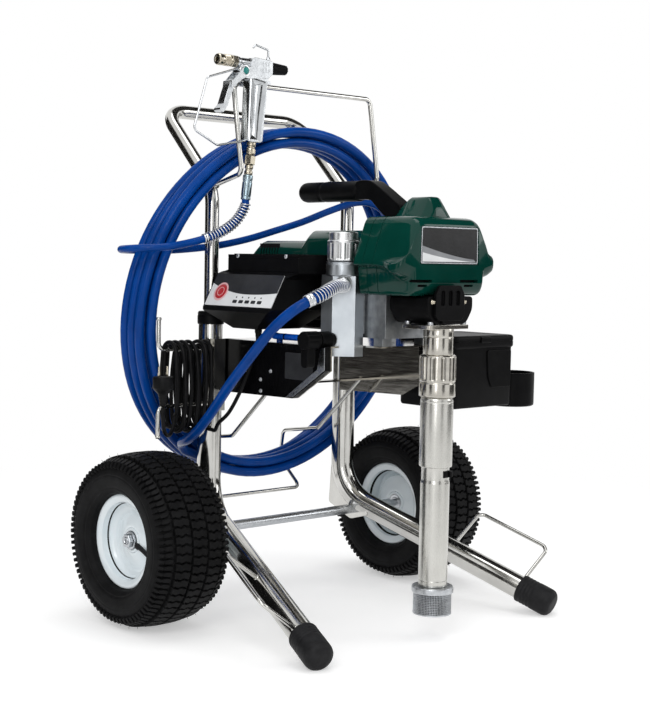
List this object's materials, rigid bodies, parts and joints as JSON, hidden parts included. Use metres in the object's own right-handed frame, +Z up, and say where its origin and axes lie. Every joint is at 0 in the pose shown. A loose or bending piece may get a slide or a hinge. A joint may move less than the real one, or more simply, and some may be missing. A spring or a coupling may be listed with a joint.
{
  "type": "airless paint sprayer on a two-wheel cart",
  "caption": "Airless paint sprayer on a tubular two-wheel cart: piston pump with suction tube, control box, tool box, coiled hose on a rack and a spray gun.",
  "frame": {"origin": "on the floor, midway between the wheels and under the axle", "axes": "+Z up, +X towards the tool box side, -Y towards the legs and the pump"},
  "size_m": [0.881, 0.6607, 1.1097],
  "materials": {
    "chromed_tube": "polished",
    "black_rubber": "matte",
    "black_plastic": "satin",
    "zinc_steel": "satin",
    "polished_sheet": "polished",
    "black_paint": "satin",
    "tyre_rubber": "matte",
    "rim_paint": "gloss",
    "copper_winding": "satin",
    "cast_aluminium": "cast",
    "green_plastic": "gloss",
    "badge": "gloss",
    "machined_steel": "turned",
    "aluminium_tube": "brushed",
    "aluminium_block": "anodised",
    "light_blue_hose": "gloss",
    "panel_film": "satin",
    "gun_aluminium": "polished",
    "nickel_brass": "plated",
    "spring_wire": "bright",
    "blue_hose": "satin",
    "cable_jacket": "satin"
  },
  "bodies": {
    "frame": {"frame_tubes": "chromed_tube", "foot_caps": "black_rubber", "leg_rails": "chromed_tube", "axle": "zinc_steel", "axle_brackets": "chromed_tube", "tube_collars": "black_plastic", "cable_hooks": "chromed_tube", "hose_cradle": "chromed_tube", "chassis_sheet": "polished_sheet", "electrical_box": "black_paint", "motor_housing": "black_paint", "gearbox_housing": "cast_aluminium", "drive_housing": "black_plastic", "slotted_cover": "black_plastic", "hood_front": "green_plastic", "hood_rear": "green_plastic", "badge_plate": "badge", "carry_handle": "black_plastic", "pump_cylinder": "machined_steel", "suction_tube": "aluminium_tube", "inlet_strainer": "zinc_steel", "manifold_block": "aluminium_block", "filter_element": "zinc_steel", "prime_valve": "black_plastic", "drain_hose": "light_blue_hose", "outlet_fitting": "machined_steel", "control_housing": "black_plastic", "control_panel": "panel_film", "toolbox_body": "black_plastic", "hose_pump_run": "blue_hose", "hose_coil": "blue_hose", "hose_coupling": "machined_steel", "guard_pump": "spring_wire", "cable_run": "cable_jacket", "cable_coil": "cable_jacket", "cable_tail": "cable_jacket", "plug": "cable_jacket"},
    "wheel_left": {"tyre_left": "tyre_rubber", "rim_left": "rim_paint", "bearings_left": "zinc_steel"},
    "wheel_right": {"tyre_right": "tyre_rubber", "rim_right": "rim_paint", "bearings_right": "zinc_steel"},
    "handle": {"handle_tube": "chromed_tube", "handle_glides": "black_plastic", "hose_rack": "chromed_tube", "hose_gun_run": "blue_hose", "guard_gun": "spring_wire", "gun_body": "gun_aluminium", "gun_knob": "black_plastic", "gun_fittings": "nickel_brass", "trigger_guard": "spring_wire"},
    "toolbox_lid": {"toolbox_lid": "black_plastic"},
    "gun_trigger": {"trigger": "gun_aluminium"},
    "gun_lock": {"trigger_lock": "zinc_steel"},
    "prime_knob": {"prime_knob": "black_plastic"},
    "rotor": {"motor_rotor": "copper_winding"},
    "crank": {"crank_gear": "zinc_steel"},
    "piston": {"pump_rod": "machined_steel"},
    "filter": {"filter_cap": "aluminium_block"}
  },
  "joints": [
    {"name": "wheel_left_spin", "type": "hinge", "parent": "frame", "child": "wheel_left", "pos_m": [-0.355, 0, 0.165], "axis": [1, 0, 0], "continuous": true},
    {"name": "wheel_right_spin", "type": "hinge", "parent": "frame", "child": "wheel_right", "pos_m": [0.355, 0, 0.165], "axis": [1, 0, 0], "continuous": true},
    {"name": "handle_slide", "type": "slide", "parent": "frame", "child": "handle", "axis": [0, 0, 1], "range_m": [-0.04, 0], "deforming": ["hose_gun_run"]},
    {"name": "toolbox_lid_hinge", "type": "hinge", "parent": "frame", "child": "toolbox_lid", "pos_m": [0.255, -0.1425, 0.543], "axis": [-1, 0, 0], "range_deg": [0, 100]},
    {"name": "trigger_pull", "type": "hinge", "parent": "handle", "child": "gun_trigger", "pos_m": [-0.184, -0.053, 1.055], "axis": [0, -1, 0], "range_deg": [0, 11], "stiffness_Nm_per_rad": 1.5, "springref_deg": -5.73},
    {"name": "trigger_lock_turn", "type": "hinge", "parent": "handle", "child": "gun_lock", "pos_m": [-0.134, -0.053, 1.044], "axis": [0, 1, 0], "range_deg": [-30, 30]},
    {"name": "prime_turn", "type": "hinge", "parent": "frame", "child": "prime_knob", "pos_m": [-0.18, -0.26, 0.551], "axis": [1, 0, 0], "range_deg": [-90, 0]},
    {"name": "crank_spin", "type": "hinge", "parent": "frame", "child": "crank", "pos_m": [0, -0.3, 0.676], "axis": [0, 1, 0], "continuous": true},
    {"name": "rotor_spin", "type": "hinge", "parent": "frame", "child": "rotor", "pos_m": [0, -0.1, 0.622], "axis": [0, 1, 0], "continuous": true},
    {"name": "pump_stroke", "type": "slide", "parent": "frame", "child": "piston", "axis": [0, 0, 1], "range_m": [-0.012, 0.012]},
    {"name": "filter_cap_turn", "type": "hinge", "parent": "frame", "child": "filter", "pos_m": [-0.102, -0.258, 0.72], "axis": [0, 0, 1], "range_deg": [0, 300]}
  ],
  "couplings": [
    {"joint": "rotor_spin", "follows": "crank_spin", "ratio": -5}
  ]
}
